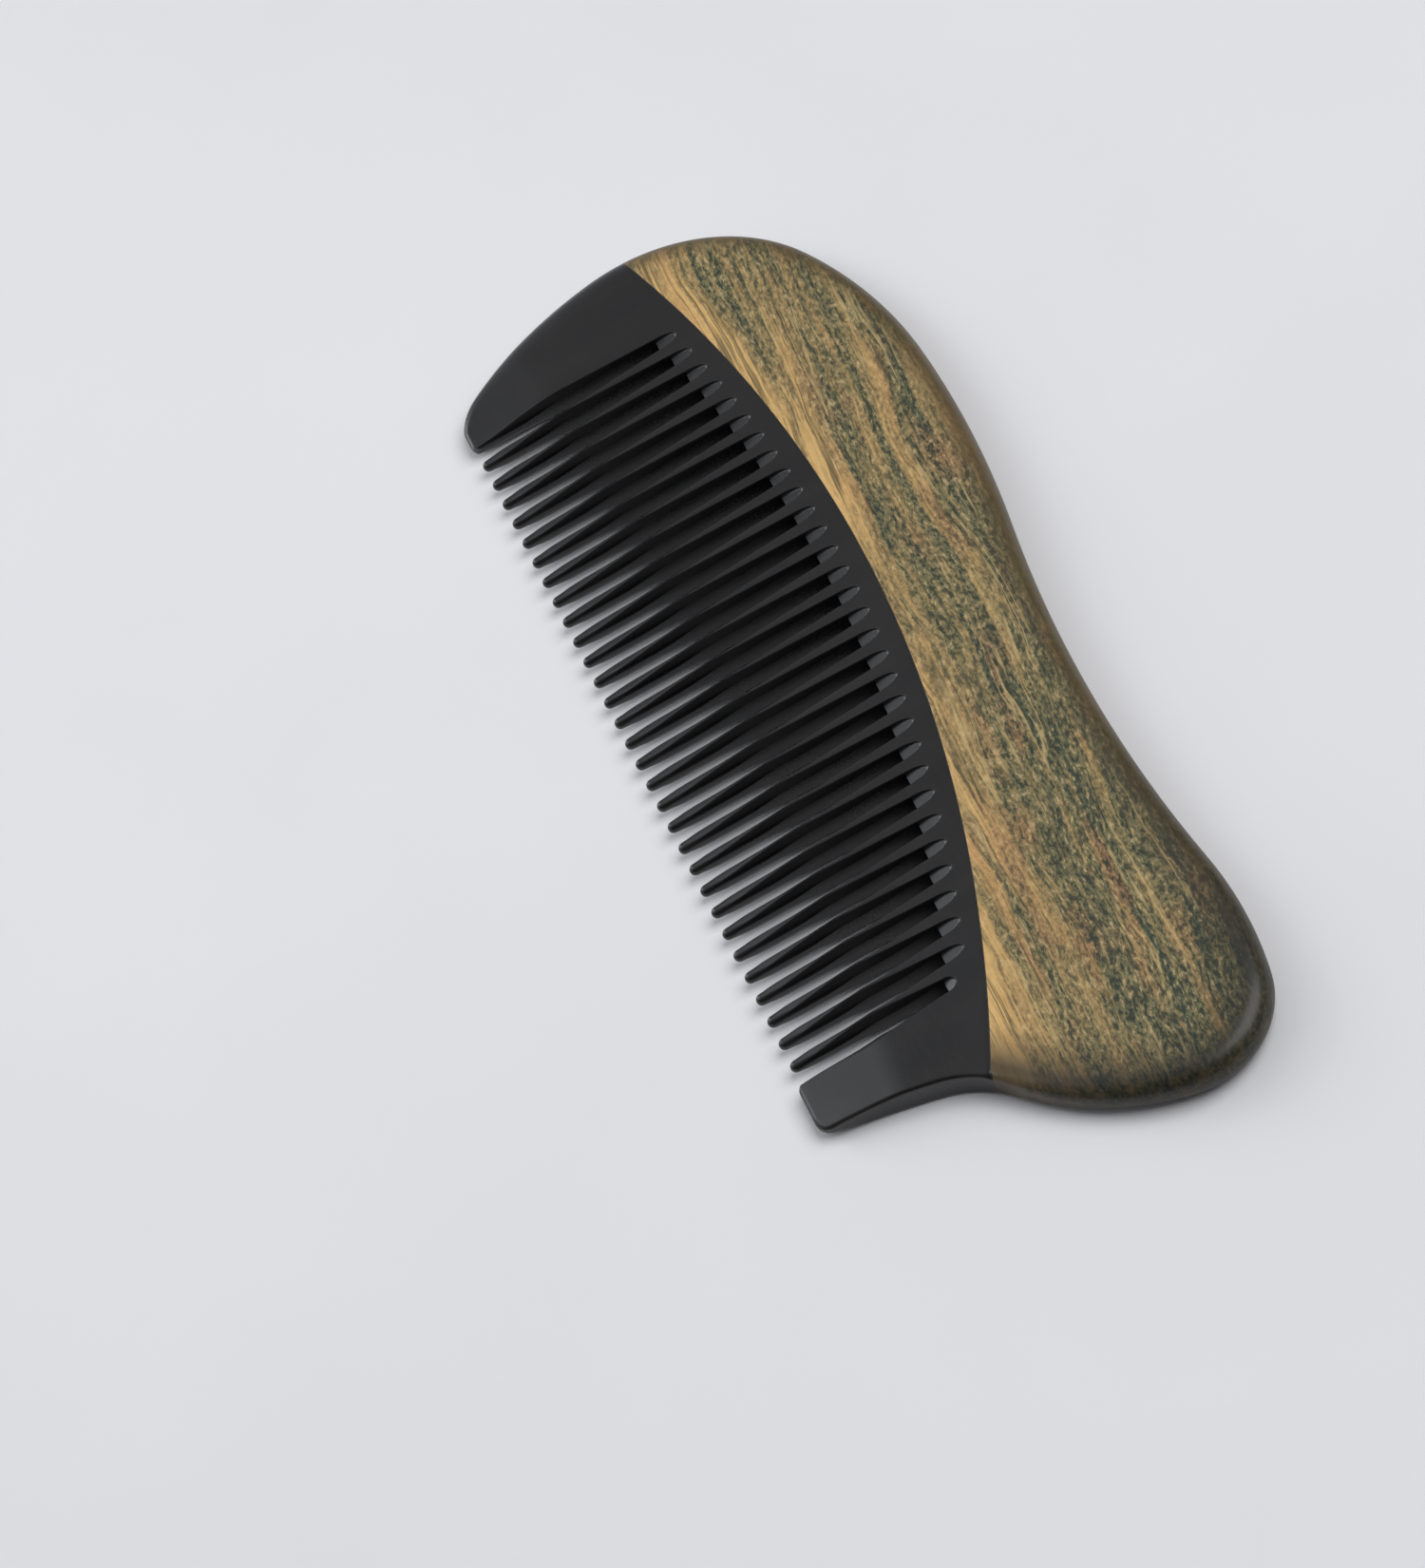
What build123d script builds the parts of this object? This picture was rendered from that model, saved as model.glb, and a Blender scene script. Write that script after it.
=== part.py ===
from build123d import *
import math
import os

# A handle-less beard comb lying on one face: a back of streaky green wood and a tooth plate of
# dark horn, glued together along a curved joint with a hidden tongue in a groove.
# Millimetres. X runs along the comb, the teeth point to -Y, +Z is up.
# The origin is under the middle of the comb, on the surface that it lies on.

# ---- driving dimensions ----
BACK_THICKNESS = 5.4
CREASE_THICKNESS = 3.8
TIP_THICKNESS = 1.2
BACK_Y = 27.5
CREASE_Y = -14.5
TIP_Y = -26.9
GUARD_TIP_Y = -27.4

# The back edge is a chain of tangent arcs, from the foot of the left guard, over the head and
# the dip, round the tail lobe and down the hollow flank of the right guard.
# Each entry is (radius, turn in degrees); a negative radius bends the other way.
OUTLINE_START = (-62.36, -27.17)
OUTLINE_HEADING = 160.5
OUTLINE_ARCS = (
    (7.9, 39.2),
    (49.4, 23.5),
    (25.0, 70.5),
    (57.2, 23.7),
    (141.8, 11.7),
    (-191.9, 16.6),
    (52.0, 19.0),
    (11.3, 93.0),
    (31.3, 39.9),
    (-13.0, 38.0),
    (-75.0, 10.0),
    (1.8, 84.0),
)

# The joint between the wood and the horn is one arc, bulging towards the back.
JOINT_RADIUS = 186.7
JOINT_CENTER = (-16.36, -177.82)
GLUE_GAP = 0.1

# The tongue of the horn plate, and its stops short of both ends of the joint.
TONGUE_THICKNESS = 1.6
TONGUE_HEIGHT = 4.5
TONGUE_LEFT_X = -62.0
TONGUE_RIGHT_X = 47.0
TONGUE_END_RADIUS = 1.5

# The teeth.
SLOT_COUNT = 31
SLOT_PITCH = 3.455
FIRST_SLOT_X = -57.86
SLOT_WIDTH_ROOT = 1.7
SLOT_WIDTH_TIP = 2.1
SLOT_END_BELOW_JOINT = 5.1
TOOTH_TIP_RADIUS = 0.6

# The V-shaped flutes ground into both faces along every slot. Each one runs out in a point
# past the slot's end, and the saw cut takes its deepest part away.
FLUTE_RUNOUT = 2.9
LAST_FLUTE_RUNOUT = 1.4
FLUTE_DEPTH = 1.3
FLUTE_WIDTH_ROOT = 2.2
FLUTE_WIDTH_TIP = 3.0
FLUTE_TIP_Y = -21.0

# Rounding of the outer edges.
WOOD_EDGE_RADIUS = 1.8
HORN_EDGE_RADIUS = 0.5

# Cutting shapes reach this far past what they cut, and shapes to be joined overlap this much.
MARGIN = 10.0
CUTTER_RISE = 0.3
OVERLAP = 0.5
HALF_SPAN = 90.0

# Two places closer than this are the same place.
TOUCH = 0.01


def thickness_slope():
    """Rise of the upper face per millimetre of Y, from the crease to the back edge."""
    return (BACK_THICKNESS - CREASE_THICKNESS) / (BACK_Y - CREASE_Y)


def top_z(y):
    """Height of the flat upper face at a given Y, above the crease."""
    return CREASE_THICKNESS + (y - CREASE_Y) * thickness_slope()


def joint_y(x, offset=0.0):
    """Y of the joint arc at a given X; offset moves the arc outwards, towards the back."""
    radius = JOINT_RADIUS + offset
    return JOINT_CENTER[1] + math.sqrt(radius**2 - (x - JOINT_CENTER[0]) ** 2)


def joint_arc(offset, x_left, x_right):
    """The joint arc, moved outwards by an offset, between two X positions."""
    middle = (x_left + x_right) / 2
    return ThreePointArc(
        (x_left, joint_y(x_left, offset)),
        (middle, joint_y(middle, offset)),
        (x_right, joint_y(x_right, offset)),
    )


def outline_edges():
    """The outer edge of the whole comb as tangent arcs, closed by the line of the tooth tips."""
    edges = []
    start = Vector(*OUTLINE_START)
    heading = math.radians(OUTLINE_HEADING)
    tangent = Vector(math.cos(heading), math.sin(heading))
    for radius, turn in OUTLINE_ARCS:
        signed_turn = -turn if radius > 0 else turn
        arc = JernArc(start=start, tangent=tangent, radius=abs(radius), arc_size=signed_turn)
        edges.append(arc.edge())
        start = arc @ 1
        tangent = arc % 1
    edges.append(Line(start, OUTLINE_START).edge())
    return edges


def outline_face():
    """The silhouette of the whole comb, without its slots."""
    return Face(Wire(outline_edges()))


def region(lower, upper):
    """A flat face between two offsets of the joint arc; None runs past the comb's edge."""
    left = -HALF_SPAN
    right = HALF_SPAN
    corners = []
    if lower is None:
        bottom_y = GUARD_TIP_Y - MARGIN
        bottom = [Line((right, bottom_y), (left, bottom_y)).edge()]
        corners.append(((left, bottom_y), (right, bottom_y)))
    else:
        arc = joint_arc(lower, left, right)
        bottom = [arc.edge()]
        corners.append((arc @ 0, arc @ 1))
    if upper is None:
        top_y = BACK_Y + MARGIN
        top = [Line((left, top_y), (right, top_y)).edge()]
        corners.append(((left, top_y), (right, top_y)))
    else:
        arc = joint_arc(upper, left, right)
        top = [arc.edge()]
        corners.append((arc @ 0, arc @ 1))
    sides = [
        Line(corners[0][0], corners[1][0]).edge(),
        Line(corners[0][1], corners[1][1]).edge(),
    ]
    return Face(Wire(bottom + top + sides))


def thickness_profile():
    """A long bar with the comb's cross-section: flat faces, then facets down to thin tips."""
    middle_z = (CREASE_THICKNESS + (TIP_Y - CREASE_Y) * thickness_slope()) / 2
    tip_y = GUARD_TIP_Y - OVERLAP
    # The facets keep their slope past the tips, so the tips come out at their own thickness.
    facet_run = CREASE_Y - TIP_Y
    low_slope = (middle_z - TIP_THICKNESS / 2) / facet_run
    high_slope = (CREASE_THICKNESS - middle_z - TIP_THICKNESS / 2) / facet_run
    reach = CREASE_Y - tip_y
    back_y = BACK_Y + MARGIN
    points = [
        (CREASE_Y, 0.0),
        (back_y, 0.0),
        (back_y, top_z(back_y)),
        (CREASE_Y, CREASE_THICKNESS),
        (tip_y, CREASE_THICKNESS - high_slope * reach),
        (tip_y, low_slope * reach),
    ]
    wire = Wire.make_polygon([Vector(-HALF_SPAN, y, z) for y, z in points], close=True)
    return Solid.extrude(Face(wire), Vector(2 * HALF_SPAN, 0.0, 0.0))


def thicken(plan):
    """The solid over a flat shape, between the comb's lower and upper faces."""
    return extrude(plan, amount=BACK_THICKNESS + MARGIN, dir=(0, 0, 1)) & thickness_profile()


def rim_edges(part, joint_offset):
    """Edges of a part along the comb's outer edge, above and below, but not round the teeth."""
    teeth_left = slot_x(0) - SLOT_WIDTH_ROOT / 2
    teeth_right = slot_x(SLOT_COUNT - 1) + SLOT_WIDTH_ROOT / 2
    chosen = []
    for edge in part.edges():
        middle = edge @ 0.5
        direction = edge % 0.5
        beyond_joint = math.dist((middle.X, middle.Y), JOINT_CENTER) - JOINT_RADIUS
        upright = abs(direction.Z) > abs(direction.X) and abs(direction.Z) > abs(direction.Y)
        on_joint = abs(beyond_joint - joint_offset) < TOUCH
        on_crease = abs(middle.Y - CREASE_Y) < TOUCH
        in_teeth = teeth_left < middle.X < teeth_right and beyond_joint < joint_offset
        if not (upright or on_joint or on_crease or in_teeth):
            chosen.append(edge)
    return chosen


def tongue_plan(clearance):
    """The flat shape of the tongue, grown by a clearance on its outer sides."""
    left = TONGUE_LEFT_X - clearance
    right = TONGUE_RIGHT_X + clearance
    foot = joint_arc(-OVERLAP, left, right)
    crown = joint_arc(TONGUE_HEIGHT + clearance, left, right)
    sides = [
        Line(foot @ 0, crown @ 0).edge(),
        Line(foot @ 1, crown @ 1).edge(),
    ]
    plan = Face(Wire([foot.edge(), crown.edge()] + sides))
    crown_corners = plan.vertices().sort_by(Axis.Y)[2:]
    return plan.fillet_2d(TONGUE_END_RADIUS + clearance, crown_corners)


def tongue_solid(clearance):
    """The tongue as a solid, in the middle of the plate's thickness."""
    thickness = TONGUE_THICKNESS + 2 * clearance
    middle_z = top_z(joint_y(0.0)) / 2
    plan = tongue_plan(clearance).moved(Location((0, 0, middle_z - thickness / 2)))
    return extrude(plan, amount=thickness, dir=(0, 0, 1))


def slot_x(index):
    """X of the centre line of a slot, counted from the left."""
    return FIRST_SLOT_X + index * SLOT_PITCH


def slot_end_y(index):
    """Y of the square inner end of a slot."""
    return joint_y(slot_x(index)) - SLOT_END_BELOW_JOINT


def slot_plan(index):
    """The saw cut between two teeth, a little wider at the tips."""
    x = slot_x(index)
    end = slot_end_y(index)
    root = SLOT_WIDTH_ROOT / 2
    mouth = SLOT_WIDTH_TIP / 2
    below = TIP_Y - MARGIN
    points = [
        (x - root, end),
        (x + root, end),
        (x + mouth, TIP_Y),
        (x + mouth, below),
        (x - mouth, below),
        (x - mouth, TIP_Y),
    ]
    return Face(Wire.make_polygon([Vector(px, py, 0) for px, py in points], close=True))


def toothed_plan():
    """The flat shape of the horn plate with its slots cut and its tooth tips rounded."""
    plan = outline_face() & region(None, -GLUE_GAP / 2)
    first = slot_x(0)
    last = slot_x(SLOT_COUNT - 1)
    trim = Pos((first + last) / 2, TIP_Y - MARGIN / 2) * Rectangle(last - first, MARGIN)
    plan = plan - trim
    slots = [slot_plan(index) for index in range(SLOT_COUNT)]
    plan = plan - slots
    face = plan.faces()[0]
    tips = [v for v in face.vertices() if abs(v.Y - TIP_Y) < TOUCH and first < v.X < last]
    return face.fillet_2d(TOOTH_TIP_RADIUS, tips)


def flute_section(index, side, y, depth, wall_run):
    """A cross-section of a flute's cutter; wall_run is half its width over its depth."""
    x = slot_x(index)
    face_z = top_z(y) if side > 0 else 0.0
    reach = (depth + CUTTER_RISE) * wall_run
    points = [
        Vector(x, y, face_z - side * depth),
        Vector(x - reach, y, face_z + side * CUTTER_RISE),
        Vector(x + reach, y, face_z + side * CUTTER_RISE),
    ]
    return Wire.make_polygon(points, close=True)


def flute_cutter(index, side):
    """The space that one flute takes out of a face; side is 1 for the upper, -1 for the lower."""
    runout = LAST_FLUTE_RUNOUT if index == SLOT_COUNT - 1 else FLUTE_RUNOUT
    end = slot_end_y(index)
    root_run = FLUTE_WIDTH_ROOT / 2 / FLUTE_DEPTH
    tip_run = FLUTE_WIDTH_TIP / 2 / FLUTE_DEPTH
    sections = [
        flute_section(index, side, end + runout, 0.0, root_run),
        flute_section(index, side, end, FLUTE_DEPTH, root_run),
        flute_section(index, side, FLUTE_TIP_Y, FLUTE_DEPTH, tip_run),
    ]
    return Solid.make_loft(sections, ruled=True)


def horn_tooth_plate():
    """The horn plate: two broad guards, the teeth between them and the hidden tongue."""
    square_plate = thicken(toothed_plan())
    rim = rim_edges(square_plate, -GLUE_GAP / 2)
    plate = fillet(rim, HORN_EDGE_RADIUS)
    flutes = [flute_cutter(index, side) for index in range(SLOT_COUNT) for side in (1, -1)]
    return (plate - flutes) + tongue_solid(0.0)


def wood_blank():
    """The rounded solid of the wooden back, reaching a little past the joint."""
    part = thicken(outline_face() & region(-OVERLAP, None))
    return fillet(rim_edges(part, -OVERLAP), WOOD_EDGE_RADIUS)


def slab(lower, upper):
    """A tall block between two offsets of the joint arc."""
    return extrude(region(lower, upper), amount=2 * MARGIN, dir=(0, 0, 1), both=True)


def wood_back(rounded):
    """The wooden back, with the groove that takes the tongue."""
    return (rounded & slab(GLUE_GAP / 2, None)) - tongue_solid(GLUE_GAP)


def glue_film(rounded):
    """The cured adhesive: a thin layer on the shoulder and all round the tongue."""
    shoulder = rounded & slab(-GLUE_GAP / 2, GLUE_GAP / 2)
    sleeve = tongue_solid(GLUE_GAP) & slab(-GLUE_GAP / 2, MARGIN)
    return (shoulder + sleeve) - tongue_solid(0.0)


def main():
    os.makedirs("parts", exist_ok=True)
    rounded = wood_blank()
    parts = {
        "wood_back": wood_back(rounded),
        "horn_tooth_plate": horn_tooth_plate(),
        "glue_film": glue_film(rounded),
    }
    for name, shape in parts.items():
        export_step(shape, f"parts/{name}.step")


main()
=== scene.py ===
"""The looks of a beard comb: a streaky green wood back glued to a polished dark horn tooth plate.

Shapes are worked out in millimetres, in the CAD model's frame, and turned into metres when a mesh
is made. X runs along the comb, the teeth point to -Y, and +Z is up.
"""

import math

import bpy
import numpy as np
from mathutils import Matrix, Vector
from mathutils.geometry import delaunay_2d_cdt


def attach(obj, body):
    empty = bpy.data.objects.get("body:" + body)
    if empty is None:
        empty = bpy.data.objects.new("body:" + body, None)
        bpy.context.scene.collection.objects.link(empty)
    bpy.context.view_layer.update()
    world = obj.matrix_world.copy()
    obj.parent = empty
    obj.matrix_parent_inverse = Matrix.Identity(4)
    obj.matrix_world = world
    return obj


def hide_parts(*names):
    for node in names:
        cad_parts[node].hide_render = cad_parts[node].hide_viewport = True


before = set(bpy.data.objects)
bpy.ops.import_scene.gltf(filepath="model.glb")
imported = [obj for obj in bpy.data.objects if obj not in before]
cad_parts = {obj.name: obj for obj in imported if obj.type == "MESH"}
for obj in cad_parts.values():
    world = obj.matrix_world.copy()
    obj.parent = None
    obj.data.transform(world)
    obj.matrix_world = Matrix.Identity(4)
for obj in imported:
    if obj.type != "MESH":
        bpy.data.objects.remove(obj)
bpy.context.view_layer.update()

METRES_PER_MM = 0.001

# ---- driving dimensions, in millimetres, the same as the CAD model's ----
BACK_THICKNESS = 5.4
CREASE_THICKNESS = 3.8
TIP_THICKNESS = 1.2
BACK_Y = 27.5
CREASE_Y = -14.5
TIP_Y = -26.9

OUTLINE_START = (-62.36, -27.17)
OUTLINE_HEADING = 160.5
OUTLINE_ARCS = (
    (7.9, 39.2),
    (49.4, 23.5),
    (25.0, 70.5),
    (57.2, 23.7),
    (141.8, 11.7),
    (-191.9, 16.6),
    (52.0, 19.0),
    (11.3, 93.0),
    (31.3, 39.9),
    (-13.0, 38.0),
    (-75.0, 10.0),
    (1.8, 84.0),
)

JOINT_RADIUS = 186.7
JOINT_CENTER = (-16.36, -177.82)
GLUE_GAP = 0.1

SLOT_COUNT = 31
SLOT_PITCH = 3.455
FIRST_SLOT_X = -57.86
SLOT_HALF_ROOT = 0.85
SLOT_HALF_TIP = 1.05
SLOT_END_BELOW_JOINT = 5.1
INNER_CORNER_RADIUS = 1.2

# ---- finish of the real object, in millimetres ----
# The tapered ends begin along a soft crease that bows with the joint.
CREASE_BOW_RADIUS = 480.0
CREASE_BOW_X = -8.0
CREASE_TOP_Y = -13.0
CREASE_SOFTNESS = 1.4

# The flutes: half their width at the slot's end and at the crease, how steep their walls and how
# deep their floors are there, and how far they run out past the slot's end.
FLUTE_HALF_ROOT = 0.93
FLUTE_HALF_CREASE = 1.74
FLUTE_STEEP_ROOT = 3.0
FLUTE_STEEP_CREASE = 1.0
FLUTE_DEPTH_ROOT = 0.62
FLUTE_DEPTH_CREASE = 2.0
FLUTE_RUNOUT = 2.75
LAST_FLUTE_RUNOUT = 1.35

# The floor rises to the face over this many run-outs, a power of a half makes the far end half an
# ellipse, the flutes grow on past the crease up to this share, and their edges are softened.
FLUTE_FLOOR_REACH = 1.12
FLUTE_END_POWER = 0.5
FLUTE_GROWTH_LIMIT = 1.3
FLUTE_EDGE_SOFTNESS = 0.07

# Rounding of the edges: how far it reaches into the face, and its share of half the thickness.
TIP_ROUNDING = (0.55, 0.88)
FOOT_ROUNDING = (0.55, 0.85)
WALL_ROUNDING = (0.3, 0.6)

# The rounding of a tooth's sides grows between these distances past the crease, and it grows into
# that of the tip over a length. Both edges of the joint are eased by a little.
WALL_ROUNDING_GROWTH = (-2.0, 6.0)
TIP_ROUNDING_GROWTH = 2.5
JOINT_EASING = 0.02

SLOT_LAST = SLOT_COUNT - 1
HALF_PITCH = SLOT_PITCH / 2
TIP_RADIUS = HALF_PITCH - SLOT_HALF_TIP


# ---------------------------------------------------------------- outline and joint


def outline_pieces():
    """Each arc of the outline as (start, heading in radians, signed curvature, length)."""
    pieces = []
    start = np.array(OUTLINE_START)
    heading = math.radians(OUTLINE_HEADING)
    for radius, turn in OUTLINE_ARCS:
        curvature = -1.0 / radius
        length = abs(radius) * math.radians(turn)
        pieces.append((start, heading, curvature, length))
        start, heading = walk(start, heading, curvature, length)
    return pieces


def walk(start, heading, curvature, distance):
    """The place and heading after some distance along an arc."""
    after = heading + curvature * distance
    step = np.stack([np.sin(after) - np.sin(heading), np.cos(heading) - np.cos(after)], -1)
    return start + step / curvature, after


OUTLINE = outline_pieces()
OUTLINE_LENGTH = sum(piece[3] for piece in OUTLINE)
OUTLINE_END = walk(*OUTLINE[-1])[0]


def outline_at(distances):
    """Points on the outline and the unit vectors that point into the comb there."""
    distances = np.asarray(distances, float)
    points = np.zeros(distances.shape + (2,))
    inward = np.zeros_like(points)
    begin = 0.0
    for start, heading, curvature, length in OUTLINE:
        here = (distances >= begin) & (distances <= begin + length)
        place, angle = walk(start, heading, curvature, distances[here] - begin)
        points[here] = place
        inward[here] = np.stack([np.sin(angle), -np.cos(angle)], -1)
        begin += length
    return points, inward


def nearest_on_outline(points):
    """How far each point is from the outline, and how far along it its nearest place is."""
    best = np.full(len(points), np.inf)
    along = np.zeros(len(points))
    begin = 0.0
    for start, heading, curvature, length in OUTLINE:
        center = start + np.array([-math.sin(heading), math.cos(heading)]) / curvature
        first = start - center
        rays = points - center
        cross = first[0] * rays[:, 1] - first[1] * rays[:, 0]
        turned = np.arctan2(cross, rays @ first) / curvature
        turned = np.clip(turned, 0.0, length)
        foot = walk(start, heading, curvature, turned)[0]
        gap = np.linalg.norm(points - foot, axis=1)
        closer = gap < best
        best[closer] = gap[closer]
        along[closer] = begin + turned[closer]
        begin += length
    return best, along


def joint_y(x, offset=0.0):
    """Y of the joint arc at X; a positive offset moves the arc towards the back."""
    radius = JOINT_RADIUS + offset
    return JOINT_CENTER[1] + np.sqrt(radius**2 - (np.asarray(x) - JOINT_CENTER[0]) ** 2)


def beyond_joint(points):
    """How far each point is past the joint arc, towards the back."""
    return np.linalg.norm(points - np.array(JOINT_CENTER), axis=1) - JOINT_RADIUS


HALVINGS = 60


def joint_crossing(first, last, offset=0.0):
    """How far along the outline, between two distances, the joint arc crosses it."""
    def side(distance):
        return beyond_joint(outline_at([distance])[0])[0] - offset

    rising = side(first) < 0
    for _ in range(HALVINGS):
        middle = (first + last) / 2
        if (side(middle) < 0) == rising:
            first = middle
        else:
            last = middle
    return (first + last) / 2


# The joint meets the outline on the left between the guard and the head, and on the right
# between the lobe and the hollow flank.
JOINT_LEFT_RANGE = (10.0, 60.0)
JOINT_RIGHT_RANGE = (OUTLINE_LENGTH - 45.0, OUTLINE_LENGTH - 5.0)
JOINT_LEFT = joint_crossing(*JOINT_LEFT_RANGE)
JOINT_RIGHT = joint_crossing(*JOINT_RIGHT_RANGE)


# ---------------------------------------------------------------- heights


def slot_x(index):
    """X of the centre line of a slot, counted from the left."""
    return FIRST_SLOT_X + index * SLOT_PITCH


def slot_end_y(index):
    """Y of the square inner end of a slot."""
    return joint_y(slot_x(index)) - SLOT_END_BELOW_JOINT


def slot_half_width(y, end_y):
    """Half the width of a slot at Y."""
    share = np.clip((end_y - y) / (end_y - TIP_Y), 0.0, 1.0)
    return SLOT_HALF_ROOT + (SLOT_HALF_TIP - SLOT_HALF_ROOT) * share


def flat_top(y):
    """Height of the flat upper face; the lower face is flat at zero."""
    slope = (BACK_THICKNESS - CREASE_THICKNESS) / (BACK_Y - CREASE_Y)
    return CREASE_THICKNESS + (y - CREASE_Y) * slope


def crease_y(x):
    """Y of the crease, along its shallow arc."""
    return CREASE_TOP_Y - (x - CREASE_BOW_X) ** 2 / (2 * CREASE_BOW_RADIUS)


def soft_ramp(distance, softness):
    """Zero below minus the softness, the distance itself above it, and smooth between."""
    within = np.clip(distance + softness, 0.0, 2 * softness)
    return np.where(distance > softness, distance, within**2 / (4 * softness))


def soft_max(a, b, softness):
    """The larger of two values, rounded where they are close."""
    return b + soft_ramp(a - b, softness)


def taper_depth(x, y):
    """How much the tapered ends take off each face."""
    length = crease_y(x) - TIP_Y
    full = (flat_top(TIP_Y) - TIP_THICKNESS) / 2
    return full * soft_ramp(crease_y(x) - y, CREASE_SOFTNESS) / length


def flute_growth(x, y):
    """From 0 at the nearest slot's inner end to 1 at the crease, and on past it to a limit."""
    end = slot_end_y(nearest_slot(x))
    return np.clip((end - y) / (end - crease_y(x)), 0.0, FLUTE_GROWTH_LIMIT)


def nearest_slot(x):
    """The slot that each X is nearest to."""
    return np.clip(np.round((x - FIRST_SLOT_X) / SLOT_PITCH), 0, SLOT_LAST)


def between(first, last, share):
    """The value at some share of the way from the first to the last."""
    return first + (last - first) * share


def arch(past_end, length, half):
    """Half the width of an arch at some distance past the slot's end; negative beyond the arch."""
    share = np.clip(past_end / length, 0.0, 1.0)
    return half * (1 - share**2) ** FLUTE_END_POWER - np.maximum(past_end - length, 0.0)


def flute_runout(index):
    """How far a slot's flute runs out past the slot's end."""
    return np.where(np.asarray(index) == SLOT_LAST, LAST_FLUTE_RUNOUT, FLUTE_RUNOUT)


def flute_steepness(grown):
    """How steep a flute's walls are."""
    return between(FLUTE_STEEP_ROOT, FLUTE_STEEP_CREASE, np.minimum(grown, 1.0))


def flute_floor(grown, past_end, runout):
    """How deep a flute's floor is."""
    deepest = between(FLUTE_DEPTH_ROOT, FLUTE_DEPTH_CREASE, grown)
    return np.maximum(deepest * (1 - past_end / (FLUTE_FLOOR_REACH * runout)), 0.0)


def flute_depth(x, y):
    """How deep the nearest flute is cut below each flat face; negative away from the flutes."""
    index = nearest_slot(x)
    aside = np.abs(x - slot_x(index))
    past_end = np.maximum(y - slot_end_y(index), 0.0)
    runout = flute_runout(index)
    grown = flute_growth(x, y)
    widening = between(0.0, FLUTE_HALF_CREASE - FLUTE_HALF_ROOT, grown)
    wall = (arch(past_end, runout, FLUTE_HALF_ROOT) + widening - aside) * flute_steepness(grown)
    floor = flute_floor(grown, past_end, runout)
    return wall - soft_ramp(wall - floor, 2 * FLUTE_EDGE_SOFTNESS)


def smooth_step(value, low, high):
    """From 0 at low to 1 at high, with soft ends."""
    share = np.clip((value - low) / (high - low), 0.0, 1.0)
    return share * share * (3 - 2 * share)


def rounding(distance, reach, share):
    """What rounding leaves of half the thickness at some distance from an edge."""
    inside = np.clip(distance / reach, 0.0, 1.0)
    return 1 - share * (1 - np.sqrt(1 - (1 - inside) ** 2))


# Reach and share of the rounding along the outline, at distances measured along it.
RIM_STATIONS = (
    (0.0, 0.7, 0.85),
    (6.0, 1.6, 0.85),
    (16.0, 3.8, 0.85),
    (JOINT_LEFT - 6.0, 3.4, 0.9),
    (JOINT_LEFT + 10.0, 2.6, 0.95),
    (JOINT_RIGHT - 16.0, 2.6, 0.95),
    (JOINT_RIGHT - 7.0, 1.6, 0.7),
    (JOINT_RIGHT + 1.0, 0.5, 0.24),
    (OUTLINE_LENGTH - 6.0, 0.45, 0.3),
    (OUTLINE_LENGTH, 0.5, 0.8),
)


def rim_reach_and_share(along):
    """Reach and share of the rounding at distances along the outline."""
    places, reaches, shares = zip(*RIM_STATIONS)
    return np.interp(along, places, reaches), np.interp(along, places, shares)


def rim_rounding(points):
    """What the rounding of the outer edge leaves of half the thickness."""
    distance, along = nearest_on_outline(points)
    reach, share = rim_reach_and_share(along)
    return rounding(distance, reach, share)


def tooth_rounding(points):
    """What the rounding of the tooth tips, the guards' feet and the tooth sides leaves."""
    x, y = points[:, 0], points[:, 1]
    slot = nearest_slot(x)
    distance = np.abs(x - slot_x(slot)) - slot_half_width(y, slot_end_y(slot))
    in_teeth = y < slot_end_y(slot)
    strength = WALL_ROUNDING[1] * smooth_step(crease_y(x) - y, *WALL_ROUNDING_GROWTH) * in_teeth

    toothed = (x > slot_x(0)) & (x < slot_x(SLOT_LAST))
    tooth = np.floor((x - FIRST_SLOT_X) / SLOT_PITCH) + 0.5
    aside = x - (FIRST_SLOT_X + tooth * SLOT_PITCH)
    below = TIP_Y + TIP_RADIUS - y
    at_tip = toothed & (below > 0)
    distance = np.where(at_tip, TIP_RADIUS - np.hypot(aside, below), distance)
    near_tip = smooth_step(below, -TIP_ROUNDING_GROWTH, 0.0) * toothed
    reach = between(WALL_ROUNDING[0], TIP_ROUNDING[0], near_tip)
    share = between(strength, TIP_ROUNDING[1], near_tip)
    left = rounding(np.maximum(distance, 0.0), reach, share)

    foot = rounding(np.maximum(y - foot_y(x), 0.0), *FOOT_ROUNDING)
    return np.where(toothed, left, np.minimum(left, foot))


def foot_y(x):
    """Y of the straight line that both guards' feet end on."""
    start = np.array(OUTLINE_START)
    share = (x - start[0]) / (OUTLINE_END[0] - start[0])
    return start[1] + (OUTLINE_END[1] - start[1]) * share


def heights(points, horn):
    """Heights of the upper and lower faces over points of the plan."""
    x, y = points[:, 0], points[:, 1]
    cut = np.zeros(len(points))
    rest = rim_rounding(points)
    if horn:
        cut = soft_max(taper_depth(x, y), flute_depth(x, y), FLUTE_EDGE_SOFTNESS)
        rest = rest * tooth_rounding(points)
    middle = flat_top(y) / 2
    half = (middle - cut) * rest
    eased = np.abs(np.abs(beyond_joint(points)) - GLUE_GAP / 2) < JOINT_EASING
    half = half - JOINT_EASING * eased
    return middle + half, middle - half


# ---------------------------------------------------------------- plans

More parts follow.
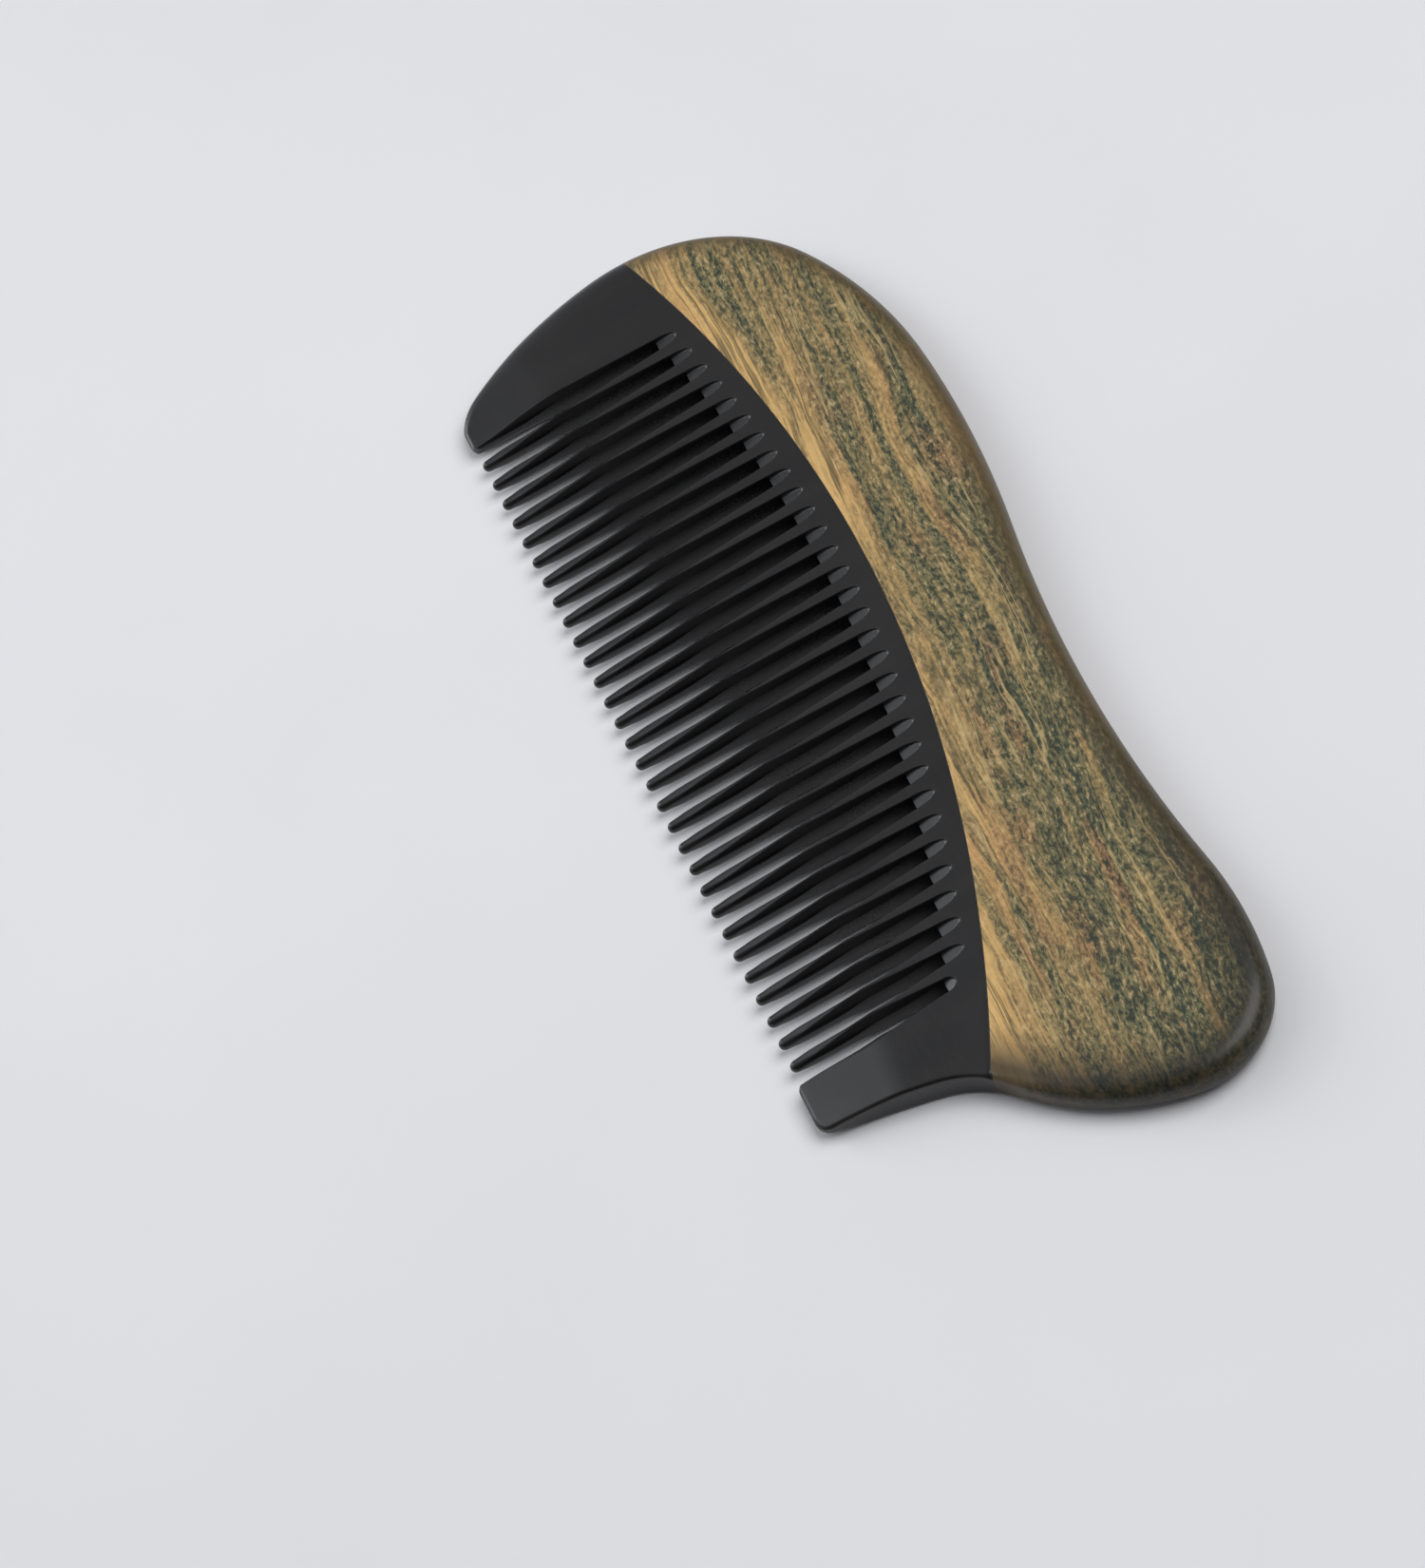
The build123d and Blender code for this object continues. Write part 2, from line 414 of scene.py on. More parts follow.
# An X past both ends of the comb, and the Y range of the grids, which are cut back to its shape.
FAR_X = 75.0
WOOD_GRID_Y = (-12.0, 28.0)
GUARD_GRID_Y = (-27.0, 0.5)

# Spacings of the meshes' points, and how many rings of them follow the rounded edge.
RING_STEPS = 9
RING_SPACING = 0.8
WOOD_GRID = 1.3
WOOD_JOINT_SPACING = 1.0
GUARD_GRID = 0.5

# Points keep this far from the joint, from its ends and from each other; nearer than the last two
# distances, places count as one and points are welded.
JOINT_CLEARANCE = 0.12
JOINT_END_MARGIN = 0.2
MIN_GAP = 0.03
SAME_PLACE = 0.01
WELD_DISTANCE = 1e-6

WOOD_BEAD_RISE = 1.2 * JOINT_CLEARANCE
SHARP_DEGREES = 60.0


def evenly(first, last, spacing):
    """Values from first to last, both included, at about the spacing asked for."""
    count = max(2, int(abs(last - first) / spacing) + 1)
    return np.linspace(first, last, count)


def runs(line, kept):
    """The stretches of a line whose points are kept."""
    breaks = np.flatnonzero(np.diff(kept.astype(int))) + 1
    stretches = np.split(line, breaks)
    flags = kept[np.append(0, breaks)]
    return [part for part, flag in zip(stretches, flags) if flag and len(part) > 1]


def rings(first, last, keep):
    """Lines along the outline, spaced to follow its rounding; keep filters their points."""
    along = evenly(first, last, RING_SPACING)
    edge, inward = outline_at(along)
    reach, _ = rim_reach_and_share(along)
    lines = []
    for step in range(1, RING_STEPS + 1):
        depth = reach * (1 - math.cos(math.pi / 2 * step / RING_STEPS))
        row = edge + inward * depth[:, None]
        off_edge = nearest_on_outline(row)[0] > depth - JOINT_EASING
        lines += runs(row, off_edge & keep(row))
    return lines


def grid(low, high, spacing, keep):
    """A grid of points between two corners that lie clear of the rim; keep filters them."""
    xs = np.arange(low[0], high[0], spacing)
    ys = np.arange(low[1], high[1], spacing)
    points = np.stack(np.meshgrid(xs, ys), -1).reshape(-1, 2)
    points = points[keep(points)]
    distance, along = nearest_on_outline(points)
    reach, _ = rim_reach_and_share(along)
    inside = points_inside(points, outline_at(evenly(0, OUTLINE_LENGTH, RING_SPACING))[0])
    return points[inside & (distance > reach + spacing / 2)]


def points_inside(points, polygon):
    """Which points are inside a closed polygon."""
    inside = np.zeros(len(points), bool)
    ends = np.roll(polygon, -1, axis=0)
    for (ax, ay), (bx, by) in zip(polygon, ends):
        spans = (ay > points[:, 1]) != (by > points[:, 1])
        if spans.any():
            cross_x = ax + (points[:, 1] - ay) * (bx - ax) / (by - ay)
            inside ^= spans & (points[:, 0] < cross_x)
    return inside


def arc_points(center, radius, first_degrees, last_degrees, count):
    """Points along an arc."""
    angles = np.radians(np.linspace(first_degrees, last_degrees, count))
    return np.array(center) + radius * np.stack([np.cos(angles), np.sin(angles)], -1)


def joint_points(offset, first, last, columns):
    """Points along the joint arc between two places on the outline, left to right."""
    left = outline_at([first])[0][0]
    right = outline_at([last])[0][0]
    clear = (columns > left[0] + JOINT_END_MARGIN) & (columns < right[0] - JOINT_END_MARGIN)
    inner = columns[clear]
    arc = np.stack([inner, joint_y(inner, offset)], -1)
    return np.vstack([left, arc, right])


def wood_plan():
    """Boundary, inner lines and inner points of the wooden back's flat shape."""
    offset = GLUE_GAP / 2
    first = joint_crossing(*JOINT_LEFT_RANGE, offset)
    last = joint_crossing(*JOINT_RIGHT_RANGE, offset)
    edge = outline_at(evenly(first, last, RING_SPACING))[0]
    columns = np.arange(-FAR_X, FAR_X, WOOD_JOINT_SPACING)
    joint = joint_points(offset, first, last, columns)[::-1]

    def keep(points):
        return beyond_joint(points) > offset + JOINT_CLEARANCE

    bead = joint[1:-1] + [0.0, WOOD_BEAD_RISE]
    lines = rings(first, last, keep) + runs(bead, keep(bead))

    def keep_grid(points):
        return beyond_joint(points) > offset + WOOD_GRID / 2

    inner = grid((-FAR_X, WOOD_GRID_Y[0]), (FAR_X, WOOD_GRID_Y[1]), WOOD_GRID, keep_grid)
    return np.vstack([edge, joint[1:-1]]), lines, inner


# Places across a slot, from its centre line, and rows above its end, in the band by the joint.
BAND_COLUMNS = np.concatenate([np.linspace(0.0, SLOT_HALF_ROOT, 7), [1.05, 1.3, 1.5]])
BAND_ROWS = np.concatenate([np.linspace(0.0, 3.06, 11), [3.4, 3.9, 4.4, 4.9]])

# Rows down a tooth, how much closer together they start, and points round a flute's far end.
TOOTH_ROWS = 44
ROW_CROWDING = 0.25
ARCH_POINTS = 33

# How far inside and outside a flute's edge its neighbouring lines run, the least width left of a
# strip's half, where across a flute its growth is taken, the places of the lines beside a slot's
# wall, and how far past a flute's edge a guard has one line more.
EDGE_MARGIN = 0.045
STRIP_LEAST = 0.02
GROWTH_PLACE = 0.98
WALL_LINES = (0.04, 0.11, 0.2, 0.31)
GUARD_LINE = 0.3

# Steps round a tip's or a corner's quarter circle, and the directions that a tip's rings end in.
TIP_STEPS = 8
TIP_RING_ENDS = (-12.0, -168.0)

# How far from the outer slots the guards' columns by the joint begin, the strips beside those
# slots reach, and the lines of the guards' feet overlap these strips; where the foot lines begin
# and end, how many there are, and how far the grid keeps from them.
LEFT_GUARD_START = 2.0
RIGHT_GUARD_START = 2.2
GUARD_STRIP = HALF_PITCH + 0.6
FOOT_OVERLAP = 1.2
FOOT_FIRST_X = -61.8
FOOT_END_MARGIN = 0.4
FOOT_STEPS = 5
FOOT_CLEARANCE = 0.1


def slot_rows(end_y):
    """Rows down a slot's wall, closer together near its inner end."""
    last = TIP_Y + HALF_PITCH - SLOT_HALF_TIP
    share = np.linspace(0.0, 1.0, TOOTH_ROWS)
    return end_y + (last - end_y) * ((1 - ROW_CROWDING) * share + ROW_CROWDING * share**2)


def slot_wall(index, side):
    """Points down one wall of a slot, from its inner end to where the tip's rounding starts."""
    end = slot_end_y(index)
    y = slot_rows(end)
    x = slot_x(index) + side * slot_half_width(y, end)
    return np.stack([x, y], -1)


def slot_end(index):
    """Points along a slot's inner end, from right to left, without its corners."""
    across = BAND_COLUMNS[BAND_COLUMNS < SLOT_HALF_ROOT - SAME_PLACE]
    x = slot_x(index) + np.concatenate([across[::-1], -across[1:]])
    return np.stack([x, np.full(len(x), slot_end_y(index))], -1)


def guard_corner(index, side):
    """The rounded inner corner of a guard's foot, listed from the slot's wall outwards."""
    wall = slot_x(index) + side * SLOT_HALF_TIP
    radius = INNER_CORNER_RADIUS
    center_x = wall + side * radius
    center = (center_x, foot_y(center_x) + radius)
    turn = (180.0, 270.0) if side > 0 else (0.0, -90.0)
    return arc_points(center, radius, *turn, TIP_STEPS)


def horn_boundary():
    """The edge of the horn plate's flat shape, once round."""
    offset = -GLUE_GAP / 2
    left = joint_crossing(*JOINT_LEFT_RANGE, offset)
    right = joint_crossing(*JOINT_RIGHT_RANGE, offset)
    slots = slot_x(np.arange(SLOT_COUNT))
    across = np.concatenate([-BAND_COLUMNS[:0:-1], BAND_COLUMNS, [HALF_PITCH]])
    columns = (slots[:, None] + across[None, :]).ravel()
    left_guard = np.arange(-FAR_X, slots[0] - LEFT_GUARD_START, GUARD_GRID)
    right_guard = np.arange(slots[-1] + RIGHT_GUARD_START, FAR_X, GUARD_GRID)
    columns = np.sort(np.concatenate([columns, left_guard, right_guard]))
    joint = joint_points(offset, left, right, columns)
    flank = outline_at(evenly(right, OUTLINE_LENGTH, RING_SPACING))[0]
    chain = [joint[:-1], flank]
    chain.append(guard_corner(SLOT_LAST, 1)[::-1])
    for index in range(SLOT_LAST, -1, -1):
        right_wall = slot_wall(index, 1)[::-1]
        left_wall = slot_wall(index, -1)
        if index == SLOT_LAST:
            right_wall = right_wall[right_wall[:, 1] > TIP_Y + INNER_CORNER_RADIUS]
        if index == 0:
            left_wall = left_wall[left_wall[:, 1] > TIP_Y + INNER_CORNER_RADIUS]
        chain += [right_wall, slot_end(index), left_wall]
        if index > 0:
            center = (slot_x(index) - HALF_PITCH, TIP_Y + TIP_RADIUS)
            chain.append(arc_points(center, TIP_RADIUS, 0.0, -180.0, 2 * TIP_STEPS + 1)[1:-1])
    chain.append(guard_corner(0, -1))
    chain.append(outline_at(evenly(0.0, left, RING_SPACING))[0][:-1])
    return np.vstack(chain)


def band_points():
    """Inner points of the band between the slots' ends and the joint."""
    rows = []
    for index in range(SLOT_COUNT):
        across = np.concatenate([-BAND_COLUMNS[:0:-1], BAND_COLUMNS])
        if index < SLOT_LAST:
            across = np.append(across, HALF_PITCH)
        x = slot_x(index) + across
        end = slot_end_y(index)
        share = np.clip((np.abs(across) - SLOT_HALF_ROOT) / (HALF_PITCH - SLOT_HALF_ROOT), 0, 1)
        base = end + (joint_y(x) - SLOT_END_BELOW_JOINT - end) * share
        top = joint_y(x, -GLUE_GAP / 2)
        for above in BAND_ROWS:
            y = base + (top - base) * above / SLOT_END_BELOW_JOINT
            row = np.stack([x, y], -1)
            if above == 0.0:
                row = row[np.abs(across) > SLOT_HALF_ROOT + SAME_PLACE]
            rows.append(row)
    return np.vstack(rows)


def arch_lines(index):
    """The edge of a flute's far end, the lines on each side of it, and its floor's edge."""
    end = slot_end_y(index)
    runout = flute_runout(index)
    turn = np.linspace(-math.pi / 2, math.pi / 2, ARCH_POINTS)
    lines = []
    for margin in (-EDGE_MARGIN, 0.0, EDGE_MARGIN):
        aside = (FLUTE_HALF_ROOT + margin) * np.sin(turn)
        past_end = (runout + margin) * np.cos(turn)
        lines.append(np.stack([slot_x(index) + aside, end + past_end], -1))
    past_end = runout * np.cos(turn)
    inset = flute_floor(0.0, past_end, runout) / FLUTE_STEEP_ROOT
    aside = np.sign(turn) * (FLUTE_HALF_ROOT * np.abs(np.sin(turn)) - inset)
    floor_edge = np.stack([slot_x(index) + aside, end + past_end], -1)
    lines += runs(floor_edge, aside * np.sign(turn) > EDGE_MARGIN)
    return lines


def flute_edge(index, side, y):
    """How far from a slot's centre line the flute beside it meets the top of the tooth."""
    x = np.full(len(y), slot_x(index) + side * FLUTE_HALF_CREASE * GROWTH_PLACE)
    grown = flute_growth(x, y)
    edge = between(FLUTE_HALF_ROOT, FLUTE_HALF_CREASE, grown)
    return np.minimum(edge - taper_depth(x, y) / flute_steepness(grown), HALF_PITCH - STRIP_LEAST)


def tooth_lines():
    """Lines along the teeth: beside the slots' walls, at the flutes' edges and down the middle."""
    lines = []
    for index in range(SLOT_COUNT):
        lines += arch_lines(index)
        y = slot_rows(slot_end_y(index))
        wall = slot_half_width(y, slot_end_y(index))
        for side in (-1, 1):
            edge = flute_edge(index, side, y)
            places = [wall + step for step in WALL_LINES]
            places += [edge - EDGE_MARGIN, edge, np.minimum(edge + EDGE_MARGIN, HALF_PITCH)]
            if (index == 0 and side < 0) or (index == SLOT_LAST and side > 0):
                places.append(edge + GUARD_LINE)
            for place in places:
                line = np.stack([slot_x(index) + side * place, y], -1)
                lines += runs(line, (place > wall + MIN_GAP / 2) & (y < slot_end_y(index)))
        if index < SLOT_LAST:
            lines.append(np.stack([np.full(len(y), slot_x(index) + HALF_PITCH), y], -1))
    return lines


def tip_points():
    """Inner points of the rounded tips, in half rings."""
    rows = []
    for index in range(1, SLOT_COUNT):
        center = (slot_x(index) - HALF_PITCH, TIP_Y + TIP_RADIUS)
        for step in range(1, TIP_STEPS - 1):
            inner = TIP_RADIUS * math.cos(math.pi / 2 * step / TIP_STEPS)
            rows.append(arc_points(center, inner, *TIP_RING_ENDS, 2 * TIP_STEPS - step))
    return np.vstack(rows)


def guard_plan():
    """Inner lines and points of the two guards, clear of the strips beside the slots."""
    left_limit = slot_x(0) - GUARD_STRIP
    right_limit = slot_x(SLOT_LAST) + GUARD_STRIP

    def keep(points):
        in_guard = (points[:, 0] < left_limit) | (points[:, 0] > right_limit)
        return in_guard & (beyond_joint(points) < -GLUE_GAP / 2 - JOINT_CLEARANCE)

    def keep_grid(points):
        clear_foot = points[:, 1] > foot_y(points[:, 0]) + FOOT_ROUNDING[0] + FOOT_CLEARANCE
        return keep(points) & clear_foot & (beyond_joint(points) < -GUARD_GRID)

    lines = rings(0.0, JOINT_LEFT, keep) + rings(JOINT_RIGHT, OUTLINE_LENGTH, keep)
    left_foot = (FOOT_FIRST_X, left_limit + FOOT_OVERLAP)
    right_foot = (right_limit - FOOT_OVERLAP, OUTLINE_END[0] - FOOT_END_MARGIN)
    for first, last in (left_foot, right_foot):
        x = evenly(first, last, GUARD_GRID)
        for step in range(1, FOOT_STEPS + 1):
            rise = FOOT_ROUNDING[0] * (1 - math.cos(math.pi / 2 * step / FOOT_STEPS))
            lines.append(np.stack([x, foot_y(x) + rise], -1))
    inner = grid((-FAR_X, GUARD_GRID_Y[0]), (FAR_X, GUARD_GRID_Y[1]), GUARD_GRID, keep_grid)
    return lines, inner


def joint_bead():
    """A line just on the horn's side of the joint."""
    x = np.arange(-FAR_X, FAR_X, GUARD_GRID)
    return np.stack([x, joint_y(x, -GLUE_GAP / 2 - JOINT_CLEARANCE)], -1)


def horn_plan():
    """Boundary, inner lines and inner points of the horn plate's flat shape."""
    guard_lines, guard_grid = guard_plan()
    lines = tooth_lines() + guard_lines + [joint_bead()]
    return horn_boundary(), lines, np.vstack([band_points(), tip_points(), guard_grid])


def thin_out(points, others):
    """Points that are not too close to the others or to each other."""
    taken = {tuple(key) for key in np.round(others / MIN_GAP).astype(int).tolist()}
    kept = []
    for point, key in zip(points, np.round(points / MIN_GAP).astype(int).tolist()):
        if tuple(key) not in taken:
            taken.add(tuple(key))
            kept.append(point)
    return np.array(kept)


def store_distance(mesh, name, distance):
    """Keeps a distance, in millimetres, for the materials; both faces share the same plan."""
    attribute = mesh.attributes.new(name, "FLOAT", "POINT")
    attribute.data.foreach_set("value", np.concatenate([distance, distance]).astype(np.float32))


def flat_mesh(boundary, lines, inner):
    """Points and triangles that fill a boundary and keep to the lines inside it."""
    if lines:
        inside = points_inside(np.vstack(lines), boundary)
        kept = np.split(inside, np.cumsum([len(line) for line in lines])[:-1])
        lines = [part for line, flags in zip(lines, kept) for part in runs(line, flags)]
    fixed = np.vstack([boundary] + lines)
    points = np.vstack([fixed, thin_out(inner[points_inside(inner, boundary)], fixed)])
    edges = []
    begin = len(boundary)
    for line in lines:
        edges += [(place, place + 1) for place in range(begin, begin + len(line) - 1)]
        begin += len(line)
    outline = [list(range(len(boundary)))]
    corners = [Vector(point) for point in points]
    flat, _, triangles, *_ = delaunay_2d_cdt(corners, edges, outline, 1, WELD_DISTANCE)
    flat = np.array([tuple(p) for p in flat])
    triangles = np.array(triangles)
    corners = flat[triangles]
    sides = corners[:, 1:] - corners[:, :1]
    area = sides[:, 0, 0] * sides[:, 1, 1] - sides[:, 0, 1] * sides[:, 1, 0]
    triangles[area < 0] = triangles[area < 0][:, ::-1]
    return flat, triangles


def shade(mesh, wall_count):
    """Smooth shading with crisp corners, and crisp edges all round the walls, the last faces."""
    mesh.shade_smooth()
    mesh.set_sharp_from_angle(angle=math.radians(SHARP_DEGREES))
    edges = np.zeros(len(mesh.loops), np.int32)
    mesh.loops.foreach_get("edge_index", edges)
    walls = edges[-4 * wall_count:].reshape(-1, 4)
    for edge in walls[:, [1, 3]].ravel().tolist():
        mesh.edges[edge].use_edge_sharp = True


def solid(name, plan, horn):
    """A closed mesh over a flat shape: its upper and lower faces and the wall between them."""
    flat, triangles = flat_mesh(*plan)
    edges = np.vstack([triangles[:, [0, 1]], triangles[:, [1, 2]], triangles[:, [2, 0]]])
    reversed_edges = set(map(tuple, edges[:, ::-1].tolist()))
    rim = np.array([edge for edge in edges.tolist() if tuple(edge) not in reversed_edges])
    upper, lower = heights(flat, horn)
    count = len(flat)
    places = np.vstack([np.column_stack([flat, upper]), np.column_stack([flat, lower])])
    wall = np.column_stack([rim[:, 0], rim[:, 0] + count, rim[:, 1] + count, rim[:, 1]])
    faces = triangles.tolist() + (triangles[:, ::-1] + count).tolist() + wall.tolist()
    mesh = bpy.data.meshes.new(name)
    mesh.from_pydata((places * METRES_PER_MM).tolist(), [], faces)
    store_distance(mesh, "from_edge", nearest_on_outline(flat)[0])
    store_distance(mesh, "from_joint", beyond_joint(flat))
    mesh.validate()
    shade(mesh, len(wall))
    piece = bpy.data.objects.new(name, mesh)
    piece.modifiers.new("normals", "WEIGHTED_NORMAL").keep_sharp = True
    bpy.context.scene.collection.objects.link(piece)
    return piece


# The glue line's points are closer together before and after these two places on X.
GLUE_ENDS = (-70.0, 56.0)
GLUE_SPACING = 0.8
GLUE_END_SPACING = 0.1


def glue_plan():
    """Boundary and inner points of the thin line of glue, which needs no inner lines."""
    half = GLUE_GAP / 2
    lower_ends = joint_crossing(*JOINT_LEFT_RANGE, -half), joint_crossing(*JOINT_RIGHT_RANGE, -half)
    upper_ends = joint_crossing(*JOINT_LEFT_RANGE, half), joint_crossing(*JOINT_RIGHT_RANGE, half)
    left_columns = np.arange(-FAR_X, GLUE_ENDS[0], GLUE_END_SPACING)
    middle_columns = np.arange(*GLUE_ENDS, GLUE_SPACING)
    right_columns = np.arange(GLUE_ENDS[1], FAR_X, GLUE_END_SPACING)
    columns = np.concatenate([left_columns, middle_columns, right_columns])
    lower = joint_points(-half, *lower_ends, columns)
    upper = joint_points(half, *upper_ends, columns)[::-1]
    return np.vstack([lower, upper]), [], lower[1:-1] + [0.0, half]


# ---------------------------------------------------------------- materials


def feed(tree, socket, value):
    """Gives an input socket its value, or links it from another socket."""
    if isinstance(value, bpy.types.NodeSocket):
        tree.links.new(value, socket)
    else:
        socket.default_value = value


def add_node(tree, kind, inputs=None, **settings):
    """A shader node with its settings; an input is a value, or a socket to link from."""
    node = tree.nodes.new("ShaderNode" + kind)
    for name, value in settings.items():
        setattr(node, name, value)
    for name, value in (inputs or {}).items():
        feed(tree, node.inputs[name], value)
    return node


def colour(red, green, blue):
    """A colour given as display values from 0 to 255, in the renderer's linear values."""
    shares = [value / 255 for value in (red, green, blue)]
    return [s / 12.92 if s < 0.04045 else ((s + 0.055) / 1.055) ** 2.4 for s in shares] + [1.0]


def ramp(tree, value, stops):
    """A colour ramp; each stop is (position, colour)."""
    node = add_node(tree, "ValToRGB", {"Fac": value})
    elements = node.color_ramp.elements
    while len(elements) < len(stops):
        elements.new(0.5)
    for element, (position, shade) in zip(elements, stops):
        element.position = position
        element.color = shade
    return node.outputs["Color"]


def span(tree, value, low, high, to_low=0.0, to_high=1.0):
    """A value mapped from one range to another, and held inside it."""
    inputs = {"Value": value, "From Min": low, "From Max": high, "To Min": to_low, "To Max": to_high}
    return add_node(tree, "MapRange", inputs).outputs["Result"]


# The places of a Mix node's factor, its two colours and its resulting colour among its sockets.
MIX_INPUTS = (0, 6, 7)
MIX_OUTPUT = 2


def mix(tree, amount, a, b):
    """Two colours mixed by an amount."""
    node = add_node(tree, "Mix", data_type="RGBA")
    for place, value in zip(MIX_INPUTS, (amount, a, b)):
        feed(tree, node.inputs[place], value)
    return node.outputs[MIX_OUTPUT]


def math_node(tree, operation, a, b=0.0):
    """A Math node's result."""
    node = add_node(tree, "Math", {0: a, 1: b}, operation=operation)
    return node.outputs[0]


def weighted(tree, parts):
    """The sum of values, each multiplied by its weight."""
    total = None
    for value, weight in parts:
        share = math_node(tree, "MULTIPLY", value, weight)
        total = share if total is None else math_node(tree, "ADD", total, share)
    return total


def stretched(tree, source, scale):
    """Coordinates scaled by a different amount along each axis, for a grain along X."""
    return add_node(tree, "Mapping", {"Vector": source, "Scale": scale}).outputs["Vector"]


def noise(tree, source, scale, detail=4.0, roughness=0.5, distortion=0.0, seed=0.0):
    """Noise over coordinates stretched by scale, in repeats per millimetre."""
    per_metre = [value / METRES_PER_MM for value in scale]
    inputs = {
        "Vector": stretched(tree, source, per_metre),
        "W": seed,
        "Scale": 1.0,
        "Detail": detail,
        "Roughness": roughness,
        "Distortion": distortion,
    }
    return add_node(tree, "TexNoise", inputs, noise_dimensions="4D").outputs["Fac"]


def new_material(name):
    """An empty node material, with its Principled shader and its object coordinates."""
    material = bpy.data.materials.new(name)
    material.use_nodes = True
    tree = material.node_tree
    shader = tree.nodes["Principled BSDF"]
    place = add_node(tree, "TexCoord").outputs["Object"]
    return material, tree, shader, place


def stored(tree, name):
    """A distance in millimetres that was kept with the mesh."""
    return add_node(tree, "Attribute", attribute_name=name).outputs["Fac"]


def connect(tree, shader, links):
    """Links sockets into the shader's inputs."""
    for name, socket in links.items():
        tree.links.new(socket, shader.inputs[name])


# The grain's turn from the comb's length, and how far it sways and flutters sideways, in metres.
GRAIN_DEGREES = 2.5
GRAIN_SWAY = 0.006
GRAIN_FLUTTER = 0.0009

# X where the tail lobe's look begins and where it is full, in metres. How far in millimetres the gold
# reaches from the joint, and the painted shade on the rounded edge reaches from the outline: along the
# comb, and there.
LOBE_X = (0.02, 0.064)
GOLD_REACH = (4.5, 13.0)
EDGE_SHADE_REACH = (3.8, 7.5)

SLATE = colour(74, 82, 60)
OLIVE = colour(126, 116, 76)
TAN = colour(172, 142, 90)
GOLD = colour(222, 180, 112)
RED_BROWN = colour(172, 114, 72)
DARK_SPECK = colour(38, 48, 34)
PALE_SPECK = colour(216, 188, 138)
DARK_LINE = colour(48, 54, 32)
PALE_LINE = colour(210, 184, 126)
# Painted shade for the rounded edge: brown along the back, near black on the tail lobe.
EDGE_SHADE_BROWN = colour(80, 66, 38)
LOBE_EDGE_SHADE = colour(16, 18, 8)


def grain_coordinates(tree, place):
    """Coordinates that run with the wood's grain: turned a little and gently swaying."""
    rotation = (0.0, 0.0, math.radians(GRAIN_DEGREES))
    straight = add_node(tree, "Mapping", {"Vector": place, "Rotation": rotation}).outputs["Vector"]
    sway = noise(tree, straight, (0.022, 0.06, 0.06), detail=2.0)
    sway = math_node(tree, "MULTIPLY", math_node(tree, "SUBTRACT", sway, 0.5), GRAIN_SWAY)
    flutter = noise(tree, straight, (0.16, 0.5, 0.5), detail=2.0)
    flutter = math_node(tree, "MULTIPLY", math_node(tree, "SUBTRACT", flutter, 0.5), GRAIN_FLUTTER)
    shift = add_node(tree, "CombineXYZ", {"Y": math_node(tree, "ADD", sway, flutter)})
    inputs = {0: straight, 1: shift.outputs["Vector"]}
    return add_node(tree, "VectorMath", inputs, operation="ADD").outputs["Vector"]


def long_lines(tree, grain, seed, spacing, width):
    """Thin lines along the grain that come and go: where a drawn-out noise crosses its middle."""
    field = noise(tree, grain, (0.02, 1 / spacing, 1 / spacing), detail=3.0, seed=seed)
    off_middle = math_node(tree, "ABSOLUTE", math_node(tree, "SUBTRACT", field, 0.5))
    lines = span(tree, off_middle, width, 0.0)
    presence = noise(tree, grain, (0.07, 0.5, 0.5), detail=3.0, seed=seed + 3.0)
    return math_node(tree, "MULTIPLY", lines, span(tree, presence, 0.48, 0.58))


def wood_colour(tree, grain, lobe):
    """Gold, olive and slate bands under specks and long thin lines; also the specks and streaks."""
    bands = noise(tree, grain, (0.012, 0.17, 0.17), detail=2.0)
    streaks = noise(tree, grain, (0.018, 0.75, 0.75), detail=3.0, roughness=0.6)
    fibres = noise(tree, grain, (0.06, 2.3, 2.3), detail=2.0, roughness=0.6)
    clouds = noise(tree, grain, (0.12, 0.5, 0.5), detail=3.0, roughness=0.6, seed=5.0)
    gold_reach = span(tree, lobe, 0.0, 1.0, *GOLD_REACH)
    near_joint = math_node(tree, "DIVIDE", stored(tree, "from_joint"), gold_reach)
    zone = weighted(tree, [
        (span(tree, bands, 0.3, 0.7), 0.30),
        (span(tree, streaks, 0.3, 0.7), 0.30),
        (span(tree, fibres, 0.3, 0.7), 0.18),
        (span(tree, clouds, 0.3, 0.7), 0.14),
        (span(tree, near_joint, 1.0, 0.1), 0.23),
    ])
    ground = ramp(tree, zone, [
        (0.28, SLATE),
        (0.45, OLIVE),
        (0.61, TAN),
        (0.77, GOLD),
    ])
    blush = noise(tree, grain, (0.07, 0.36, 0.36), detail=3.0, seed=2.0)
    ground = mix(tree, span(tree, blush, 0.52, 0.68, 0.0, 0.4), ground, RED_BROWN)

    specks = noise(tree, grain, (0.95, 2.4, 2.4), detail=3.0, roughness=0.7, distortion=0.3)
    dense = span(tree, zone, 0.72, 0.40, 0.12, 0.95)
    dark = math_node(tree, "MULTIPLY", span(tree, specks, 0.52, 0.43), dense)
    ground = mix(tree, dark, ground, DARK_SPECK)
    pale = math_node(tree, "MULTIPLY", span(tree, specks, 0.56, 0.66), 0.6)
    ground = mix(tree, pale, ground, PALE_SPECK)

    dark_lines = math_node(tree, "MULTIPLY", long_lines(tree, grain, 1.0, 1.2, 0.04), 0.8)
    ground = mix(tree, dark_lines, ground, DARK_LINE)
    pale_lines = math_node(tree, "MULTIPLY", long_lines(tree, grain, 7.0, 2.6, 0.02), 0.65)
    return mix(tree, pale_lines, ground, PALE_LINE), specks, streaks


